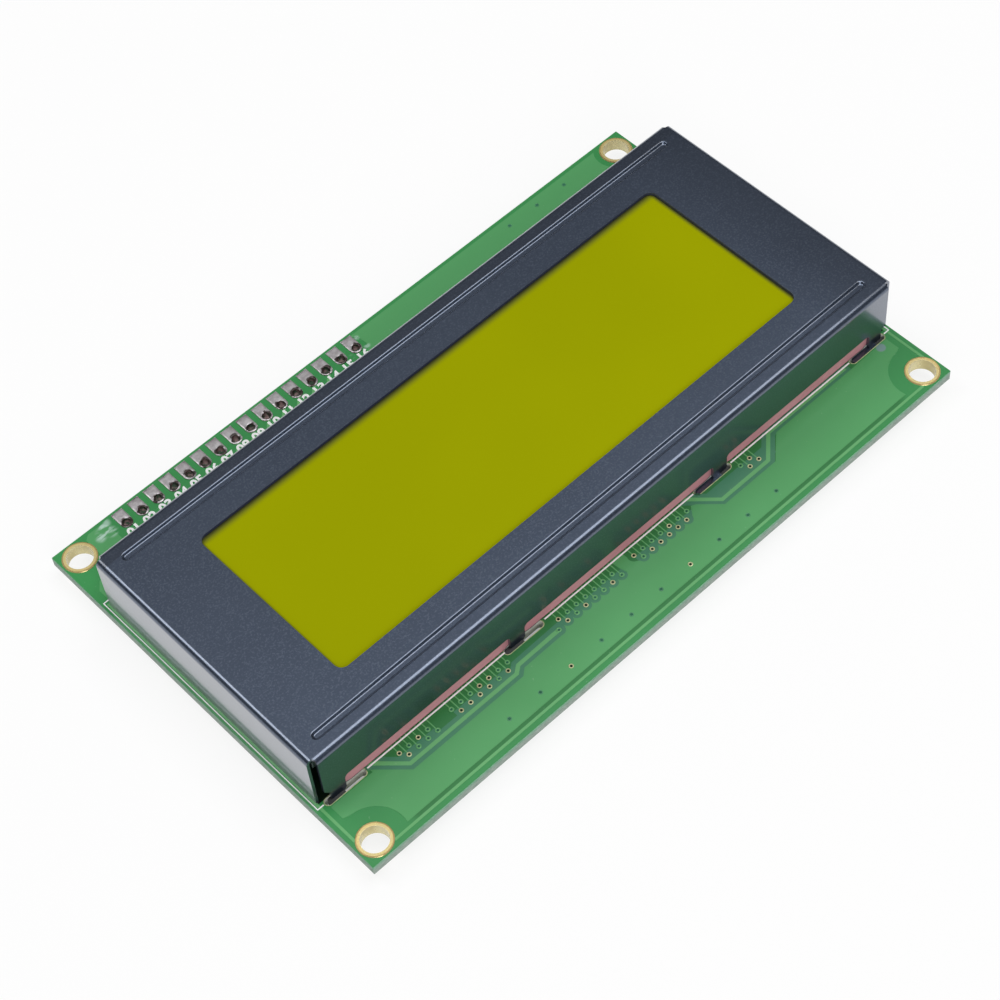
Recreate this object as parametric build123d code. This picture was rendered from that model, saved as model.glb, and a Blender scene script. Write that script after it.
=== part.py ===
from build123d import *
import math
import os

# Character display module, 20 columns by 4 rows, with a yellow-green light box.
# X runs along the rows, Y towards the edge with the connector pads, Z out of the display.
# The origin is under the middle of the circuit board, at the level of the twisted tab tips
# that the module rests on. All sizes are in millimetres.

# Circuit board
board_length = 98.0
board_width = 60.0
board_thickness = 1.6
mount_hole_inset = 2.5
mount_hole_bore = 3.5
mount_hole_wall = 0.1
mount_ring_diameter = 4.6
mount_ring_height = 0.1
mount_ring_bevel_share = 0.6

# Connector pads along the upper edge
pad_count = 16
pad_pitch = 2.54
first_pad_inset = 9.9
pad_hole_inset = 2.5
pad_hole_bore = 1.0
pad_hole_wall = 0.1
pad_width = 1.7
pad_edge_gap = 0.35
pad_height = 0.06

# Sheet steel bezel, folded from one blank
bezel_end_margin = 0.5
bezel_width = 40.0
bezel_height = 9.4
bezel_offset = 0.3
sheet = 0.4
fold_radius = 0.8
window_length = 76.2
window_width = 26.0
window_offset_x = 0.3
window_corner_radius = 1.2
corner_relief_x = 1.0
corner_relief_y = 0.75
corner_relief_radius = 0.3
wall_raise = 2.3
wall_corner_raise = 1.3
wall_corner_rise = 1.0

# Stiffening grooves pressed into the top of the bezel, which bear on the glass
groove_end_inset = 2.6
groove_edge_inset = 2.7
groove_width = 1.35
groove_depth = 0.3
groove_radius = 0.25
groove_rim_slope = 5.0
ridge_spread = 0.1
ridge_flank_angle = 35.0

# Tabs of the bezel and the board slots that they pass through
outer_tab_inset = 1.75
outer_tab_width = 2.3
inner_tab_outer_edge = 18.45
inner_tab_width = 2.4
tab_root_radius = 0.6
tab_shoulder_depth = 0.8
tab_neck_inset = 0.6
tab_reach = 1.7
tab_twist = 32.0
tab_twist_length = 0.9
slot_width = 1.0
slot_length = 6.2
slot_outer_reach = 0.75
slot_side_gap = 0.05
lug_length = 2.9
lug_drop = 0.3
lug_side_gap = 0.1
lug_corner_share = 0.45

# Liquid crystal cell
glass_thickness = 1.1
glass_side_gap = 0.3
polariser_thickness = 0.2
front_polariser_end_margin = 1.8
front_polariser_side_gap = 0.25
rear_glass_side_gap = 0.4
rear_polariser_margin = 0.5

# Pink silicone contact strips between the glass ledges and the board
strip_width = 2.6
strip_end_gap = 3.0
strip_wall_gap = 0.05

# Light box under the cell
light_board_thickness = 0.8
light_box_end_gap = 3.8
light_box_strip_gap = 0.3
light_box_wall = 1.5
diffuser_thickness = 1.2
diode_columns = 12
diode_rows = 3
diode_end_gap = 4.0
diode_side_gap = 6.15
diode_length = 1.6
diode_width = 0.8
diode_height = 0.7
lead_spacing = 12.0
lead_inset = 2.6
lead_side = 0.5
lead_hole_bore = 1.0
lead_reach = 0.9
lead_solder_diameter = 2.2
lead_solder_height = 0.6
lead_solder_neck = 0.1

# Black epoxy caps over the three bare chips on the underside
cap_diameter = 17.0
cap_height = 1.3
cap_end_inset = 22.0
cap_row_y = -4.0
cap_rim_height = 0.45
cap_rim_lean = 0.3

# Small parts soldered to the underside
chip_length = 2.0
chip_width = 1.25
chip_height = 0.5
capacitor_height = 0.8
chip_fillet_run = 0.45
chip_fillet_rise = 0.35
chip_row_y = 13.5
bias_count = 5
bias_pitch = 2.6
bias_start_x = 4.0
oscillator_gap = 6.0
backlight_resistor_lead_gap = 6.7
backlight_resistor_pitch = 3.0
backlight_resistor_count = 2
capacitor_inset = 23.0
capacitor_pitch = 6.0
capacitor_count = 3

# Levels, worked out from the tab tips upwards and from the bezel top downwards
board_bottom = tab_reach
board_top = board_bottom + board_thickness
bezel_top = board_top + bezel_height
bezel_ceiling = bezel_top - sheet
front_glass_top = bezel_ceiling - groove_depth
front_glass_bottom = front_glass_top - glass_thickness
rear_glass_bottom = front_glass_bottom - glass_thickness
rear_polariser_bottom = rear_glass_bottom - polariser_thickness
diffuser_bottom = rear_polariser_bottom - diffuser_thickness
light_board_top = board_top + light_board_thickness

# Lengths and half widths that more than one piece shares
bezel_length = board_length - 2 * bezel_end_margin
outer_tab_outer_edge = bezel_length / 2 - outer_tab_inset
groove_spacing = bezel_width - 2 * groove_edge_inset
wall_inner_y = bezel_width / 2 - sheet
wall_inner_x = bezel_length / 2 - sheet
wall_end_x = bezel_length / 2 - corner_relief_x
open_corner_x = (wall_end_x + wall_inner_x) / 2
groove_straight = bezel_length - 2 * groove_end_inset - groove_width
strip_outer_y = wall_inner_y - strip_wall_gap
strip_inner_y = strip_outer_y - strip_width
rear_glass_width = 2 * (strip_inner_y - rear_glass_side_gap)
light_box_width = 2 * (strip_inner_y - light_box_strip_gap)
glass_length = 2 * (wall_inner_x - glass_side_gap)
light_box_length = 2 * (wall_inner_x - light_box_end_gap)
light_room_length = light_box_length - 2 * light_box_wall
light_room_width = light_box_width - 2 * light_box_wall
slot_inner_y = wall_inner_y - slot_side_gap
slot_middle_y = slot_inner_y + slot_width / 2
pad_row_y = board_width / 2 - pad_hole_inset
first_pad_x = first_pad_inset - board_length / 2
lead_x = bezel_offset + light_box_length / 2 - lead_inset
outer_cap_x = board_length / 2 - cap_end_inset

LOW = (Align.CENTER, Align.CENTER, Align.MIN)
HIGH = (Align.CENTER, Align.CENTER, Align.MAX)


# Tabs along one long wall, as outer edge, width and side
def tab_table():
    rows = []
    for side in (-1, 1):
        rows.append((outer_tab_outer_edge, outer_tab_width, side))
        rows.append((inner_tab_outer_edge, inner_tab_width, side))
    return rows


# Middle of a tab, measured from the middle of the bezel
def tab_middle(outer_edge, width, side):
    return side * (outer_edge - width / 2)


# The four corners of a rectangle of hole centres
def mount_places():
    x = board_length / 2 - mount_hole_inset
    y = board_width / 2 - mount_hole_inset
    return [(-x, -y), (x, -y), (x, y), (-x, y)]


def pad_places():
    return [(first_pad_x + index * pad_pitch, pad_row_y) for index in range(pad_count)]


def lead_places():
    return [(lead_x, -lead_spacing / 2), (lead_x, lead_spacing / 2)]


# A slot runs from just outside its tab towards the middle of the board
def slot_places():
    places = []
    for outer_edge, width, side in tab_table():
        x = side * (outer_edge + slot_outer_reach - slot_length / 2)
        places.append((x, -slot_middle_y))
        places.append((x, slot_middle_y))
    return places


# Glass cloth laminate, routed and drilled
def make_board():
    board = Pos(0, 0, board_bottom) * Box(board_length, board_width, board_thickness, align=LOW)
    tool = Sketch()
    for x, y in mount_places():
        tool += Pos(x, y) * Circle(mount_hole_bore / 2 + mount_hole_wall)
    for x, y in pad_places():
        tool += Pos(x, y) * Circle(pad_hole_bore / 2 + pad_hole_wall)
    for x, y in lead_places():
        tool += Pos(x, y) * Circle(lead_hole_bore / 2)
    for x, y in slot_places():
        tool += Pos(x, y) * SlotOverall(slot_length, slot_width)
    return board - Pos(0, 0, board_bottom) * extrude(tool, amount=board_thickness)


# Gold-plated lining of a mounting hole, with a bevelled ring on each face of the board
def make_mount_lining(x, y):
    bore = mount_hole_bore / 2
    drilled = bore + mount_hole_wall
    ring = mount_ring_diameter / 2
    low = board_bottom - mount_ring_height
    high = board_top + mount_ring_height
    bevel = mount_ring_height * mount_ring_bevel_share
    outline = Polyline(
        (bore, low), (ring - bevel, low), (ring, low + bevel), (ring, board_bottom),
        (drilled, board_bottom), (drilled, board_top), (ring, board_top),
        (ring, high - bevel), (ring - bevel, high), (bore, high), close=True,
    )
    return Pos(x, y, 0) * revolve(Plane.XZ * make_face(outline), Axis.Z)


# Tinned connector pad: rounded towards the display, square towards the board edge
def pad_outline():
    length = pad_hole_inset - pad_edge_gap
    shape = Circle(pad_width / 2) + Rectangle(pad_width, length, align=(Align.CENTER, Align.MIN))
    return shape - Circle(pad_hole_bore / 2)


def make_pad(x, y):
    lining = Circle(pad_hole_bore / 2 + pad_hole_wall) - Circle(pad_hole_bore / 2)
    upper = Pos(x, y, board_top) * extrude(pad_outline(), amount=pad_height)
    lower = Pos(x, y, board_bottom - pad_height) * extrude(pad_outline(), amount=pad_height)
    return upper + lower + Pos(x, y, board_bottom) * extrude(lining, amount=board_thickness)


# Open underside of the bezel's long walls between two tabs, with rounded tab roots
def wall_opening(left, right):
    profile = Rectangle(right - left, 2 * wall_raise)
    profile = fillet(profile.vertices().group_by(Axis.Y)[-1], tab_root_radius)
    tool = extrude(Plane.XZ * profile, amount=bezel_width, both=True)
    return Pos((left + right) / 2, 0, board_top) * tool


# The wall's lower outer corner, cut back at a slant to the edge of the outer tab
def wall_corner(side):
    end_level = wall_corner_raise + wall_corner_rise
    outline = Polyline(
        (outer_tab_outer_edge, -wall_raise), (outer_tab_outer_edge, wall_corner_raise),
        (wall_end_x, end_level), (open_corner_x, end_level), (open_corner_x, -wall_raise), close=True,
    )
    tool = Pos(0, 0, board_top) * extrude(Plane.XZ * make_face(outline), amount=bezel_width, both=True)
    return tool if side > 0 else mirror(tool, Plane.YZ)


# A tab narrows to a neck in its slot, and its full-width end is twisted under the board to lock it
def make_tab(x, width):
    y = -(wall_inner_y + sheet / 2)
    full = Rectangle(width, sheet)
    slim = Rectangle(width - 2 * tab_neck_inset, sheet)
    turned = Rot(0, 0, tab_twist) * full
    shoulder_level = board_top - tab_shoulder_depth
    twist_end = board_bottom - tab_twist_length
    shoulder = loft([Pos(x, y, shoulder_level) * slim, Pos(x, y, board_top) * full], ruled=True)
    neck = Pos(x, y, board_bottom) * extrude(slim, amount=shoulder_level - board_bottom)
    twisted = loft([Pos(x, y, board_bottom) * slim, Pos(x, y, twist_end) * turned], ruled=True)
    tip = Pos(x, y, 0) * extrude(turned, amount=twist_end)
    return shoulder + neck + twisted + tip


# Side lug of a tab on the right half, bent flat inside its slot
def make_lug(x, width):
    deep = slot_width - slot_side_gap - lug_side_gap
    middle_y = -(wall_inner_y + deep / 2)
    length = lug_length + width / 2
    lug = Box(length, deep, sheet, align=(Align.MAX, Align.CENTER, Align.MAX))
    lug = fillet(lug.edges().filter_by(Axis.Z).group_by(Axis.X)[0], deep * lug_corner_share)
    return Pos(x, middle_y, board_top - lug_drop) * lug


# Half section of the groove: a rounded rim, a steep flank and a rounded foot, then its floor
def groove_section():
    rim_slope = math.radians(groove_rim_slope)
    rise = (1 + math.cos(rim_slope) - groove_depth / groove_radius) / 2
    flank_slope = math.degrees(math.acos(rise))
    heading = (-math.cos(rim_slope), -math.sin(rim_slope))
    rim = JernArc((groove_width / 2, 0), heading, groove_radius, flank_slope - groove_rim_slope)
    foot = JernArc(rim @ 1, rim % 1, groove_radius, -flank_slope)
    rest = Polyline(foot @ 1, (0, -groove_depth), (0, sheet), (groove_width / 2, sheet), rim @ 0)
    return make_face(rim + foot + rest)


# Pressed groove: a trench in the outer face, with round ends
def groove_trench():
    section = groove_section()
    side = extrude(Plane.YZ * section, amount=groove_straight / 2, both=True)
    end = revolve(Plane.XZ * section, Axis.Z)
    trench = side + mirror(side, Plane.XZ)
    for x in (-groove_straight / 2, groove_straight / 2):
        trench += Pos(x, 0, 0) * end
    return trench


# Ridge that the groove raises on the inner face
def groove_ridge():
    width = groove_width + 2 * ridge_spread
    shape = SlotOverall(groove_straight + width, width)
    return extrude(shape, amount=-groove_depth, taper=ridge_flank_angle)


def make_bezel():
    blank = Box(bezel_length, bezel_width, bezel_height, align=LOW)
    blank = fillet(blank.edges().group_by(Axis.Z)[-1], fold_radius)
    hollow = Box(bezel_length - 2 * sheet, bezel_width - 2 * sheet, bezel_height - sheet, align=LOW)
    hollow = fillet(hollow.edges().group_by(Axis.Z)[-1], fold_radius - sheet)
    bezel = Pos(0, 0, board_top) * (blank - hollow)

    window = fillet(Rectangle(window_length, window_width).vertices(), window_corner_radius)
    bezel -= Pos(window_offset_x, 0, board_top) * extrude(window, amount=bezel_height)

    relief = Rectangle(2 * corner_relief_x, 2 * corner_relief_y)
    relief = fillet(relief.vertices(), corner_relief_radius)
    relief = extrude(relief, amount=2 * bezel_height)
    for x in (-bezel_length / 2, bezel_length / 2):
        for y in (-bezel_width / 2, bezel_width / 2):
            bezel -= Pos(x, y, board_top) * relief

    inner_edge = outer_tab_outer_edge - outer_tab_width
    tab_inner = inner_tab_outer_edge - inner_tab_width
    bezel -= wall_opening(-inner_edge, -inner_tab_outer_edge)
    bezel -= wall_opening(-tab_inner, tab_inner)
    bezel -= wall_opening(inner_tab_outer_edge, inner_edge)
    bezel -= wall_corner(1)
    bezel -= wall_corner(-1)

    for side in (-1, 1):
        y = side * groove_spacing / 2
        bezel += Pos(0, y, bezel_ceiling) * groove_ridge()
        bezel -= Pos(0, y, bezel_top) * groove_trench()

    for outer_edge, width, side in tab_table():
        tab = make_tab(tab_middle(outer_edge, width, side), width)
        if side > 0:
            tab += make_lug(tab_middle(outer_edge, width, side), width)
        bezel += tab
        bezel += mirror(tab, Plane.XZ)
    return Pos(bezel_offset, 0, 0) * bezel


# A flat sheet centred in the bezel, given by its lower level
def plate(length, width, thickness, level):
    return Pos(bezel_offset, 0, level) * Box(length, width, thickness, align=LOW)


def make_front_glass():
    width = 2 * (wall_inner_y - glass_side_gap)
    return plate(glass_length, width, glass_thickness, front_glass_bottom)


def make_rear_glass():
    return plate(glass_length, rear_glass_width, glass_thickness, rear_glass_bottom)


# The front film ends short of the pressed grooves
def make_front_polariser():
    ridge_inner_y = groove_spacing / 2 - groove_width / 2 - ridge_spread
    length = glass_length - 2 * front_polariser_end_margin
    width = 2 * (ridge_inner_y - front_polariser_side_gap)
    return plate(length, width, polariser_thickness, front_glass_top)


def make_rear_polariser():
    length = glass_length - 2 * rear_polariser_margin
    width = rear_glass_width - 2 * rear_polariser_margin
    return plate(length, width, polariser_thickness, rear_polariser_bottom)


def make_contact_strip(side):
    y = side * (strip_outer_y + strip_inner_y) / 2
    length = 2 * (wall_inner_x - strip_end_gap)
    strip = Box(length, strip_width, front_glass_bottom - board_top, align=LOW)
    return Pos(bezel_offset, y, board_top) * strip


def make_diffuser():
    return plate(light_box_length, light_box_width, diffuser_thickness, diffuser_bottom)


# White moulded frame that carries the diffuser round its rim
def make_light_frame():
    height = diffuser_bottom - light_board_top
    frame = Box(light_box_length, light_box_width, height, align=LOW)
    frame -= Box(light_room_length, light_room_width, height, align=LOW)
    return Pos(bezel_offset, 0, light_board_top) * frame


def make_light_board():
    slab = plate(light_box_length, light_box_width, light_board_thickness, board_top)
    for x, y in lead_places():
        drill = Cylinder(lead_hole_bore / 2, light_board_thickness, align=LOW)
        slab -= Pos(x, y, board_top) * drill
    return slab


# Diodes on an even grid in the light box
def make_diodes():
    diodes = []
    pitch_x = (light_room_length - diode_length - 2 * diode_end_gap) / (diode_columns - 1)
    pitch_y = (light_room_width - diode_width - 2 * diode_side_gap) / (diode_rows - 1)
    for column in range(diode_columns):
        for row in range(diode_rows):
            x = (column - (diode_columns - 1) / 2) * pitch_x
            y = (row - (diode_rows - 1) / 2) * pitch_y
            body = Box(diode_length, diode_width, diode_height, align=LOW)
            diodes.append(Pos(bezel_offset + x, y, light_board_top) * body)
    return Compound(diodes)


# One flat lead of the light box, through both boards
def make_lead(x, y):
    bottom = board_bottom - lead_reach
    return Pos(x, y, bottom) * Box(lead_side, lead_side, light_board_top - bottom, align=LOW)


# Solder round a lead on the underside, filling its hole
def make_lead_solder(x, y):
    neck = lead_side / 2 ** 0.5 + lead_solder_neck
    cone = Cone(neck, lead_solder_diameter / 2, lead_solder_height, align=HIGH)
    plug = Cylinder(lead_hole_bore / 2, board_thickness, align=LOW)
    joint = Pos(x, y, board_bottom) * (cone + plug)
    return joint - make_lead(x, y)


# Low drop of black epoxy: a steep rim and a shallow dome
def make_cap(x):
    radius = cap_diameter / 2
    shoulder = (radius - cap_rim_lean, -cap_rim_height)
    dome = TangentArc((0, -cap_height), shoulder, tangent=(1, 0))
    sides = Polyline(shoulder, (radius, 0), (0, 0), (0, -cap_height))
    drop = revolve(Plane.XZ * make_face(dome + sides), Axis.Z)
    return Pos(x, cap_row_y, board_bottom) * drop


# Ceramic chip on the underside, lying across the row
def make_chip(x, height):
    body = Box(chip_width, chip_length, height, align=HIGH)
    return Pos(x, chip_row_y, board_bottom) * body


# Solder at both ends of a chip
def make_chip_solder(x):
    outline = make_face(Polyline((0, 0), (chip_fillet_run, 0), (0, -chip_fillet_rise), close=True))
    wedge = Plane.YZ * outline
    wedge = extrude(wedge, amount=chip_width / 2, both=True)
    wedge = Pos(0, chip_length / 2, 0) * wedge
    ends = [wedge, mirror(wedge, Plane.XZ)]
    return [Pos(x, chip_row_y, board_bottom) * end for end in ends]


# Places along a row, from its first place
def row_places(start, pitch, count):
    return [start + index * pitch for index in range(count)]


bias_places = row_places(bias_start_x, bias_pitch, bias_count)
capacitor_places = row_places(capacitor_inset - board_length / 2, capacitor_pitch, capacitor_count)
oscillator_x = capacitor_places[-1] + oscillator_gap
backlight_last_x = lead_x - backlight_resistor_lead_gap
backlight_places = row_places(backlight_last_x, -backlight_resistor_pitch, backlight_resistor_count)
all_chip_places = bias_places + [oscillator_x] + capacitor_places + backlight_places

nodes = {
    "circuit_board": make_board(),
    "bezel": make_bezel(),
    "front_polariser": make_front_polariser(),
    "front_glass": make_front_glass(),
    "rear_glass": make_rear_glass(),
    "rear_polariser": make_rear_polariser(),
    "contact_strip_lower": make_contact_strip(-1),
    "contact_strip_upper": make_contact_strip(1),
    "light_diffuser": make_diffuser(),
    "light_frame": make_light_frame(),
    "light_board": make_light_board(),
    "light_diodes": make_diodes(),
    "connector_pads": Compound([make_pad(x, y) for x, y in pad_places()]),
    "controller_cap": make_cap(-outer_cap_x),
    "driver_cap_middle": make_cap(0),
    "driver_cap_right": make_cap(outer_cap_x),
    "bias_resistors": Compound([make_chip(x, chip_height) for x in bias_places]),
    "oscillator_resistor": make_chip(oscillator_x, chip_height),
    "backlight_resistors": Compound([make_chip(x, chip_height) for x in backlight_places]),
    "supply_capacitors": Compound([make_chip(x, capacitor_height) for x in capacitor_places]),
    "chip_solder": Compound([piece for x in all_chip_places for piece in make_chip_solder(x)]),
}
for number, (x, y) in enumerate(mount_places(), start=1):
    nodes[f"mount_lining_{number}"] = make_mount_lining(x, y)
for name, (x, y) in zip(("anode", "cathode"), lead_places()):
    nodes[f"light_{name}_lead"] = make_lead(x, y)
    nodes[f"light_{name}_solder"] = make_lead_solder(x, y)

os.makedirs("parts", exist_ok=True)
for name, shape in nodes.items():
    export_step(shape, f"parts/{name}.step")
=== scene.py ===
import math

import bmesh
import bpy
from mathutils import Matrix, Quaternion, Vector


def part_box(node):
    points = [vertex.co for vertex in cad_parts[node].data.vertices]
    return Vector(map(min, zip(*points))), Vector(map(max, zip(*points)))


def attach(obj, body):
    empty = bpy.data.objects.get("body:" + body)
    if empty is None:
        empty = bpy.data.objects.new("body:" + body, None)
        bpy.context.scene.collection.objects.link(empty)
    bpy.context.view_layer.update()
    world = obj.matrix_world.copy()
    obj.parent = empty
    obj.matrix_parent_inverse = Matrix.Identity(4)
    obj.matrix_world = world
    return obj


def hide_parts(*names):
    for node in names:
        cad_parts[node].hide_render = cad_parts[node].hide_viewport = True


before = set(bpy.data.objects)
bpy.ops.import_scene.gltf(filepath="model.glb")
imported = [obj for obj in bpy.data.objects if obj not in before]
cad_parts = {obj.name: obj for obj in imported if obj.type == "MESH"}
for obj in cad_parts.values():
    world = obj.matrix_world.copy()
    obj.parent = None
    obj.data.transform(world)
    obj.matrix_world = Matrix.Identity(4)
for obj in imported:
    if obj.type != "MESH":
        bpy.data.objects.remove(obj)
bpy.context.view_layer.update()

scene = bpy.context.scene
scene.view_settings.view_transform = "Standard"


# Camera.
# It stands over the left end of the module's lower edge and looks down along the board at a
# slant, rolled a little, with a long lens.
mm = 0.001
camera_place = Vector((-113.98, -144.45, 257.09)) * mm
camera_aim = Vector((-4.39, -3.49, 3.3)) * mm
camera_roll = math.radians(-6.58)
camera_lens = 90.36

lens_data = bpy.data.cameras.new("camera")
lens_data.lens = camera_lens
lens_data.sensor_width = 36.0
lens_data.clip_start = 10 * mm
lens_data.clip_end = 20.0
camera = bpy.data.objects.new("camera", lens_data)
scene.collection.objects.link(camera)
turn = (camera_aim - camera_place).to_track_quat("-Z", "Y") @ Quaternion((0, 0, 1), camera_roll)
camera.matrix_world = Matrix.Translation(camera_place) @ turn.to_matrix().to_4x4()
scene.camera = camera


# Floor, backdrop and lamps.
# A pale floor that runs out of sight, in a room with grey walls and a paler ceiling. A wide lamp
# overhead and a round one behind draw the bright lines along the folds, and one in front fills in.
class Wire:
    """A socket of a node tree. Plain arithmetic on it adds Math nodes to the tree."""

    def __init__(self, tree, socket):
        self.tree = tree
        self.socket = socket

    @classmethod
    def node(cls, tree, kind, settings=None, inputs=None, output=0):
        """A node: its settings first, then the values or links of its sockets."""
        made = tree.nodes.new(kind)
        for name, value in (settings or {}).items():
            setattr(made, name, value)
        for name, value in (inputs or {}).items():
            if isinstance(value, cls):
                tree.links.new(value.socket, made.inputs[name])
            else:
                made.inputs[name].default_value = value
        return cls(tree, made.outputs[output]) if made.outputs else None

    def math(self, operation, *others):
        values = {0: self, **dict(enumerate(others, start=1))}
        return Wire.node(self.tree, "ShaderNodeMath", {"operation": operation}, values)

    def __add__(self, other):
        return self.math("ADD", other)

    def __sub__(self, other):
        return self.math("SUBTRACT", other)

    def __mul__(self, other):
        return self.math("MULTIPLY", other)

    def __rsub__(self, other):
        return self.math("MULTIPLY", -1.0) + other

    def __gt__(self, other):
        return self.math("GREATER_THAN", other)

    def __lt__(self, other):
        return self.math("LESS_THAN", other)

    __radd__ = __add__
    __rmul__ = __mul__

    def part(self, letter):
        output = "XYZ".index(letter)
        return Wire.node(self.tree, "ShaderNodeSeparateXYZ", {}, {0: self}, output)

    def ease(self, start, end, low=0.0, high=1.0):
        """low up to start, high from end, and a soft step between them."""
        settings = {"interpolation_type": "SMOOTHSTEP"}
        inputs = {0: self, 1: start, 2: end, 3: low, 4: high}
        return Wire.node(self.tree, "ShaderNodeMapRange", settings, inputs)

    def blend(self, colour_a, colour_b):
        """A colour from a to b by this factor."""
        inputs = {0: self, 6: colour_a, 7: colour_b}
        return Wire.node(self.tree, "ShaderNodeMix", {"data_type": "RGBA"}, inputs, 2)


def rgb(red, green, blue):
    return (red, green, blue, 1.0)


def new_tree(name):
    """A new material and its empty node tree."""
    material = bpy.data.materials.new(name)
    material.use_nodes = True
    material.node_tree.nodes.clear()
    return material, material.node_tree


def object_place(tree):
    return Wire.node(tree, "ShaderNodeTexCoord", output="Object")


def seen_directly(tree):
    """1 where the camera, or a mirror or glass, sees the surface, and 0 for soft light."""
    camera_ray = Wire.node(tree, "ShaderNodeLightPath", output="Is Camera Ray")
    glossy_ray = Wire.node(tree, "ShaderNodeLightPath", output="Is Glossy Ray")
    clear_ray = Wire.node(tree, "ShaderNodeLightPath", output="Is Transmission Ray")
    return camera_ray.math("MAXIMUM", glossy_ray).math("MAXIMUM", clear_ray)


# The floor shows a share of plain white, and a smaller one below the module, which only its slots
# and holes let the camera see. The smaller share there is a painted shadow of the module on the floor.
floor_size = 6.0
floor_glow = 0.84
painted_shadow_glow = 0.36
shade_half_x = 48.5
shade_half_y = 23.0
shade_fade = 1.0
floor_material, floor_tree = new_tree("floor")
floor_place = object_place(floor_tree)


def below_module(axis, half_side):
    """1 below the module along one axis, fading to 0 at its sides."""
    away = floor_place.part(axis).math("ABSOLUTE")
    return away.ease((half_side - shade_fade) * mm, half_side * mm, 1.0, 0.0)


below = below_module("X", shade_half_x) * below_module("Y", shade_half_y)
glow = below.ease(0.0, 1.0, floor_glow, painted_shadow_glow)
floor_paint = Wire.node(floor_tree, "ShaderNodeBsdfDiffuse", {}, {"Color": rgb(0.95, 0.95, 0.95)})
floor_white = Wire.node(floor_tree, "ShaderNodeEmission", {}, {"Color": rgb(1, 1, 1), "Strength": 1.0})
floor_inputs = {0: seen_directly(floor_tree) * glow, 1: floor_paint, 2: floor_white}
floor_shader = Wire.node(floor_tree, "ShaderNodeMixShader", {}, floor_inputs)
Wire.node(floor_tree, "ShaderNodeOutputMaterial", {}, {"Surface": floor_shader})
floor_mesh = bpy.data.meshes.new("floor")
half_floor = floor_size / 2
floor_corners = [(-half_floor, -half_floor, 0), (half_floor, -half_floor, 0),
                 (half_floor, half_floor, 0), (-half_floor, half_floor, 0)]
floor_mesh.from_pydata(floor_corners, [], [(0, 1, 2, 3)])
floor_mesh.materials.append(floor_material)
floor = bpy.data.objects.new("floor", floor_mesh)
scene.collection.objects.link(floor)

world = bpy.data.worlds.new("room")
world.use_nodes = True
world_tree = world.node_tree
world_tree.nodes.clear()
room_light = 0.225
wall_light = 0.1
ceiling_light = 0.37
wall_from = 0.12
ceiling_from = 0.66
ceiling_full = 0.88
height_seen = Wire.node(world_tree, "ShaderNodeTexCoord", output="Generated").part("Z")
camera_ray = Wire.node(world_tree, "ShaderNodeLightPath", output="Is Camera Ray")
above_floor = height_seen.ease(0.0, wall_from, 1.0, wall_light)
ceiling = height_seen.ease(ceiling_from, ceiling_full, 0.0, ceiling_light - wall_light)
white_or_ceiling = (above_floor + ceiling).math("MAXIMUM", camera_ray)
directly = seen_directly(world_tree)
room_strength = directly * white_or_ceiling + (1.0 - directly) * room_light
room_inputs = {"Color": rgb(1, 1, 1), "Strength": room_strength}
room = Wire.node(world_tree, "ShaderNodeBackground", {}, room_inputs)
Wire.node(world_tree, "ShaderNodeOutputWorld", {}, {"Surface": room})
scene.world = world


def add_lamp(name, place, size, power, shape="DISK", aim=None):
    """A soft lamp. Without an aim it faces straight down."""
    data = bpy.data.lights.new(name, "AREA")
    data.shape = shape
    data.size, data.size_y = size
    data.energy = power
    lamp = bpy.data.objects.new(name, data)
    lamp.location = place
    if aim:
        lamp.rotation_euler = (Vector(aim) - Vector(place)).to_track_quat("-Z", "Y").to_euler()
    scene.collection.objects.link(lamp)


add_lamp("lamp_overhead", (0.25, -0.06, 0.84), (0.56, 0.58), 3.6, "RECTANGLE")
add_lamp("lamp_back", (-0.33, 0.506, 0.84), (0.48, 0.48), 2.6)
add_lamp("lamp_front", (-0.34, -0.7, 0.54), (0.5, 0.5), 3.2, aim=(0.0, 0.0, 0.0))


# Circuit board.
# Glass cloth laminate with a green solder mask on both faces. The routed outline and the slots
# show the bare laminate, and the mask is paler at the board's ends and along its edges.
def facing_up(tree):
    """1 on a level top, 0 on an upright wall and -1 on a level underside."""
    return Wire.node(tree, "ShaderNodeTexCoord", output="Normal").part("Z")


def noise(tree, place, scale, detail=2.0, roughness=0.5):
    inputs = {"Vector": place, "Scale": scale, "Detail": detail, "Roughness": roughness}
    return Wire.node(tree, "ShaderNodeTexNoise", {}, inputs)


def bump(tree, height, distance, strength=1.0):
    inputs = {"Height": height, "Distance": distance, "Strength": strength}
    return Wire.node(tree, "ShaderNodeBump", {}, inputs)


def principled(tree, **values):
    """The material's one shader, with a value or link for each named socket."""
    inputs = {name.replace("_", " "): value for name, value in values.items()}
    shader = Wire.node(tree, "ShaderNodeBsdfPrincipled", {}, inputs)
    Wire.node(tree, "ShaderNodeOutputMaterial", {}, {"Surface": shader})


def dress(node, material):
    """Gives a solid of the model its material."""
    for material_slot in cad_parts[node].material_slots:
        material_slot.material = material


board_low, board_high = (Vector(corner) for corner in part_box("circuit_board"))
board_top = board_high.z
laminate_dark = rgb(0.58, 0.62, 0.54)
laminate_pale = rgb(0.84, 0.86, 0.78)
edge_dark = rgb(0.2, 0.28, 0.23)
edge_pale = rgb(0.42, 0.48, 0.43)
edge_stained = rgb(0.14, 0.42, 0.24)
clear_green = rgb(0.026, 0.205, 0.05)
clear_green_deep = rgb(0.021, 0.175, 0.042)
border_green = rgb(0.04, 0.29, 0.078)
border_green_deep = rgb(0.034, 0.25, 0.068)
painted_shade_green = rgb(0.003, 0.012, 0.006)
cut_skin = 0.1
paler_ends_x = 40.5
paler_row_y = 18.0
paler_edge_y = -29.25
covered_half_x = 48.05
covered_half_y = 19.5


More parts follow.
